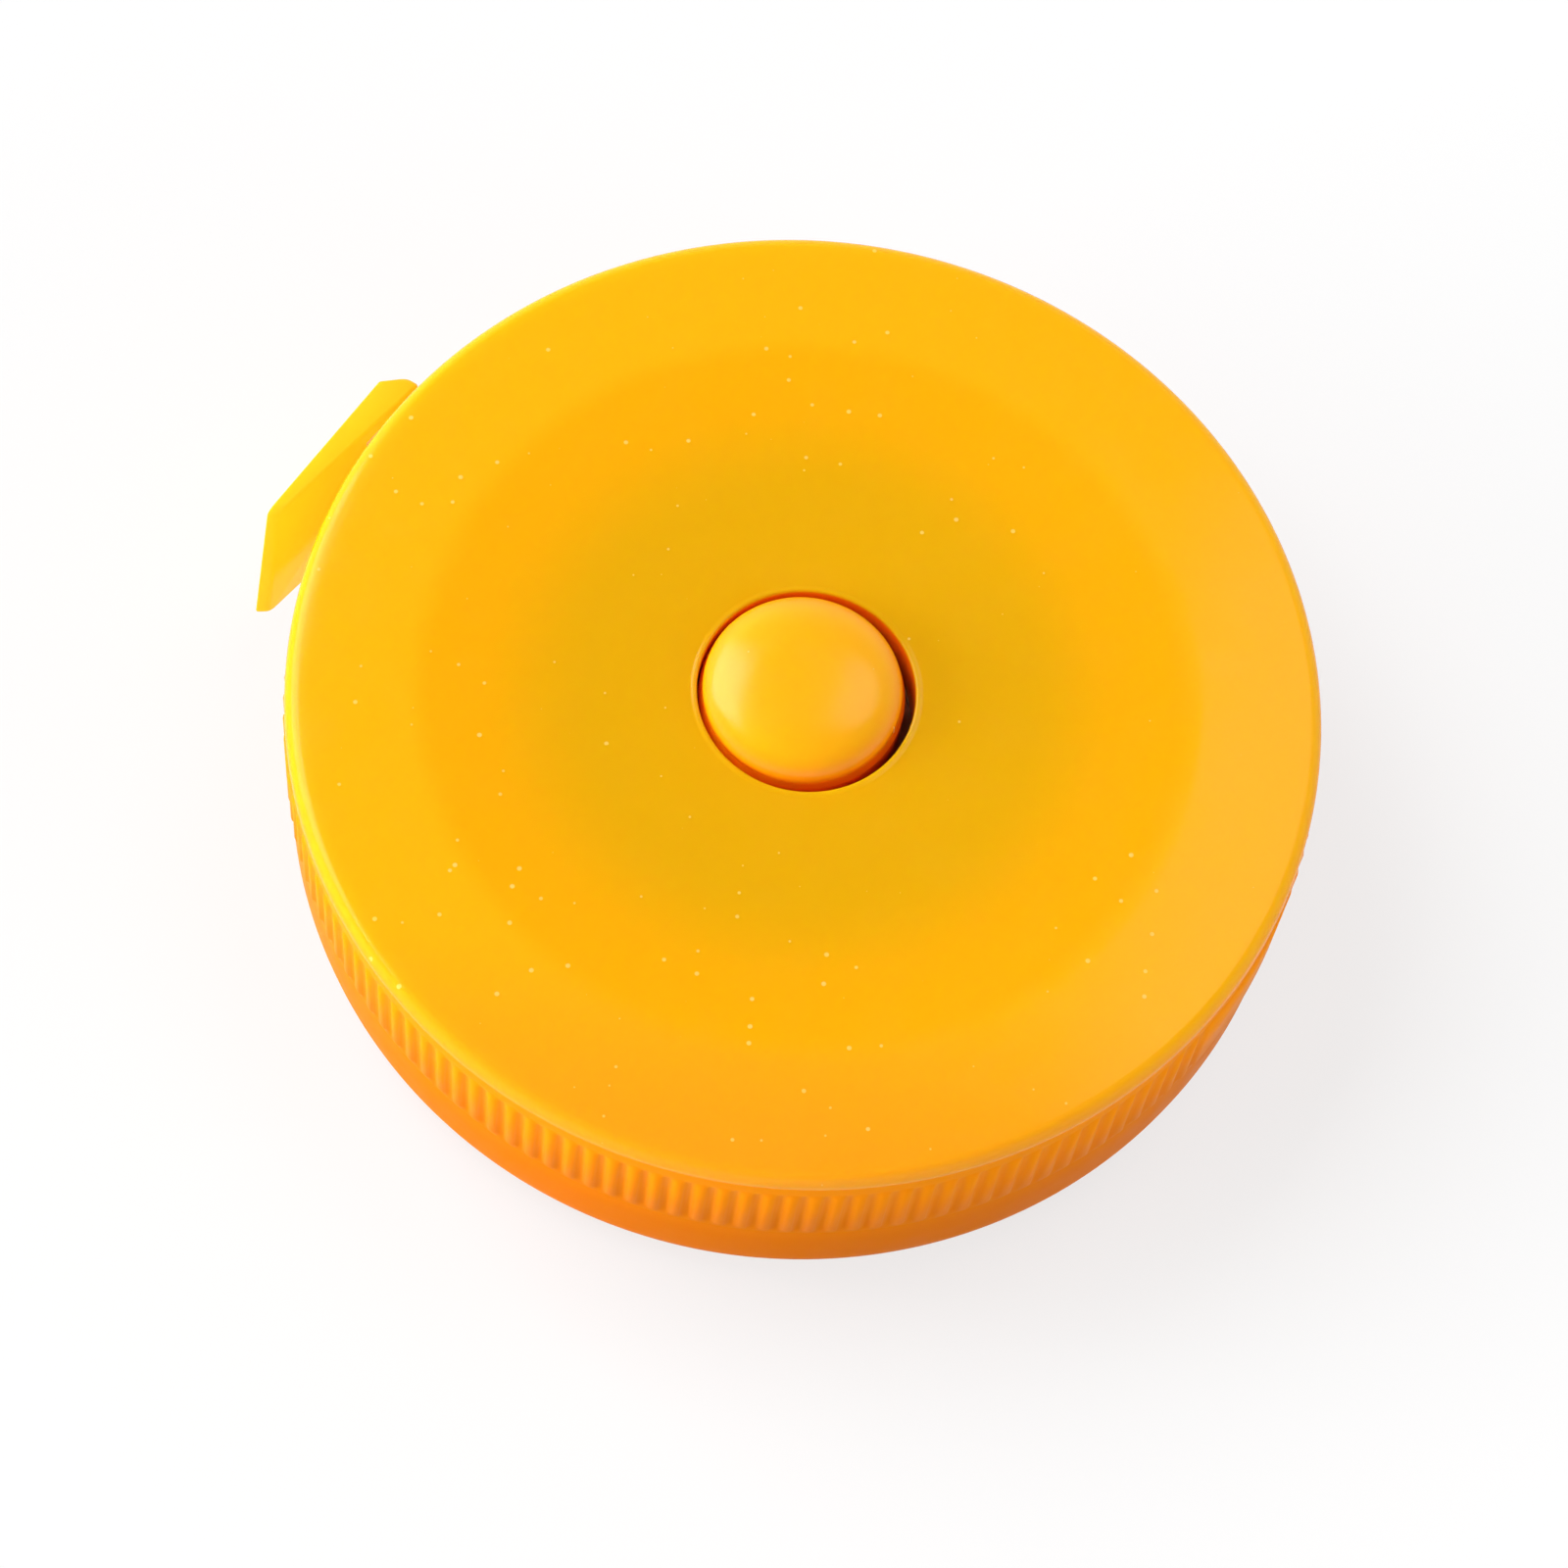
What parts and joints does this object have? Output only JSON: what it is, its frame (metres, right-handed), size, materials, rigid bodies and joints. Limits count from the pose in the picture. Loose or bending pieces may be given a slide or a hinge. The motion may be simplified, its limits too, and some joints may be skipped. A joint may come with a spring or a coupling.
{
  "type": "retractable sewing tape measure",
  "caption": "Round push-button sewing tape measure: a glossy two-part case with a ribbed rim, a domed brake button and a flat pull tab on the end of the tape",
  "frame": {"origin": "the middle of the flat back face that the case lies on", "axes": "Z runs along the case's axis, from the back face up through the button. X and Y are in the plane of the back face, and the pull tab stands at the rim about 156 degrees anticlockwise from X as seen from above."},
  "size_m": [0.0528, 0.05, 0.0146],
  "materials": {
    "case_plastic": "glossy moulded",
    "white_plastic": "as moulded",
    "grey_plastic": "as moulded",
    "film": "smooth cut film",
    "brake_rubber": "matte",
    "spring_steel": "rolled",
    "tape": "coated woven tape"
  },
  "bodies": {
    "case": {"lower_shell": "case_plastic", "upper_shell": "case_plastic", "spring_arbor": "white_plastic", "reel_slip_washer": "film", "button_return_spring": "spring_steel", "tape_lead": "tape"},
    "reel": {"tape_reel": "white_plastic", "reel_cover": "white_plastic", "power_spring": "spring_steel", "power_spring_cover": "film", "tape_roll": "tape", "tape_anchor_wedge": "grey_plastic"},
    "button": {"push_button": "case_plastic", "brake_disc": "grey_plastic", "brake_friction_ring": "brake_rubber"},
    "tab": {"pull_tab": "case_plastic"}
  },
  "joints": [
    {"name": "button_press", "type": "slide", "parent": "case", "child": "button", "axis": [0, 0, -1], "range_m": [0, 0.0012], "stiffness_N_per_m": 700, "springref_m": -0.003, "deforming": ["button_return_spring"]},
    {"name": "reel_spin", "type": "hinge", "parent": "case", "child": "reel", "pos_m": [0, 0, 0.00675], "axis": [0, 0, 1], "range_deg": [0, 5100], "deforming": ["power_spring"]},
    {"name": "tape_pull", "type": "slide", "parent": "case", "child": "tab", "axis": [-0.8988, -0.4384, 0], "range_m": [0, 1.5], "deforming": ["tape_lead"]}
  ],
  "couplings": [
    {"joint": "tape_pull", "follows": "reel_spin", "m_per_rad": 0.01685}
  ]
}
